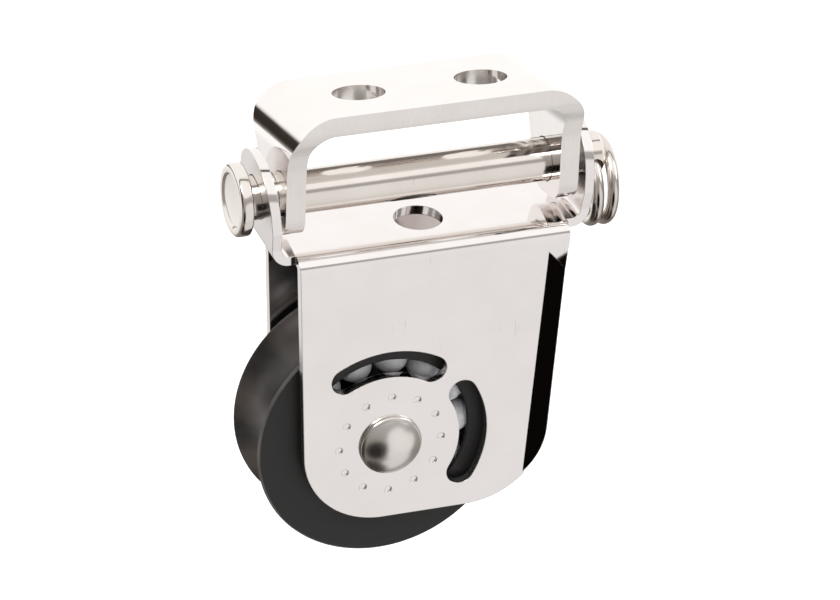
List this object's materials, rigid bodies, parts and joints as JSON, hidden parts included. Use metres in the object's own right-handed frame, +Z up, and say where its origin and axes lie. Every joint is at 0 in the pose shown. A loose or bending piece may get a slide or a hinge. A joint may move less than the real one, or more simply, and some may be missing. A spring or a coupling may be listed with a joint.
{
  "type": "single sheave block",
  "caption": "Small polished steel block with a ball-bearing sheave, hanging on a clevis pin from a screw-on U bracket.",
  "frame": {"origin": "middle of the bracket's flat top face, between its two screw holes", "axes": "+Z up, along the hanging cheeks; +X along the clevis pin towards the split ring; +Y to the rear. The bracket leans back 12 degrees about the pin, so its top face points 12 degrees from +Z towards +Y."},
  "size_m": [0.0453, 0.0178, 0.0577],
  "materials": {
    "polished_steel": "mirror polished stainless sheet",
    "turned_steel": "polished turned stainless",
    "spring_steel": "bright drawn spring wire",
    "sheave_plastic": "moulded matte black",
    "hub_plastic": "moulded black",
    "ball_plastic": "milky translucent"
  },
  "bodies": {
    "bracket": {"mounting_bracket": "polished_steel"},
    "block": {"block_frame": "polished_steel", "bearing_hub": "hub_plastic", "axle_rivet": "turned_steel"},
    "pin": {"clevis_pin": "turned_steel"},
    "ring": {"split_ring": "spring_steel"},
    "sheave": {"sheave": "sheave_plastic"},
    "balls": {"ball_front_01": "ball_plastic", "ball_front_02": "ball_plastic", "ball_front_03": "ball_plastic", "ball_front_04": "ball_plastic", "ball_front_05": "ball_plastic", "ball_front_06": "ball_plastic", "ball_front_07": "ball_plastic", "ball_front_08": "ball_plastic", "ball_front_09": "ball_plastic", "ball_front_10": "ball_plastic", "ball_front_11": "ball_plastic", "ball_front_12": "ball_plastic", "ball_front_13": "ball_plastic", "ball_rear_01": "ball_plastic", "ball_rear_02": "ball_plastic", "ball_rear_03": "ball_plastic", "ball_rear_04": "ball_plastic", "ball_rear_05": "ball_plastic", "ball_rear_06": "ball_plastic", "ball_rear_07": "ball_plastic", "ball_rear_08": "ball_plastic", "ball_rear_09": "ball_plastic", "ball_rear_10": "ball_plastic", "ball_rear_11": "ball_plastic", "ball_rear_12": "ball_plastic", "ball_rear_13": "ball_plastic"}
  },
  "joints": [
    {"name": "block_swing", "type": "hinge", "parent": "bracket", "child": "block", "pos_m": [0.0001, -0.0018, -0.01041], "axis": [1, 0, 0], "range_deg": [-92, 68]},
    {"name": "pin_turn", "type": "hinge", "parent": "bracket", "child": "pin", "pos_m": [0.0001, -0.0018, -0.01041], "axis": [1, 0, 0], "continuous": true},
    {"name": "ring_swing", "type": "hinge", "parent": "pin", "child": "ring", "pos_m": [0.0202, -0.0018, -0.01041], "axis": [0, 0.9563, 0.2924], "range_deg": [-4, 3]},
    {"name": "sheave_spin", "type": "hinge", "parent": "block", "child": "sheave", "pos_m": [-0.0044, -0.0018, -0.04091], "axis": [0, 1, 0], "continuous": true},
    {"name": "ball_orbit", "type": "hinge", "parent": "block", "child": "balls", "pos_m": [-0.0044, -0.0018, -0.04091], "axis": [0, 1, 0], "continuous": true}
  ],
  "couplings": [
    {"joint": "ball_orbit", "follows": "sheave_spin", "ratio": 0.6133}
  ]
}
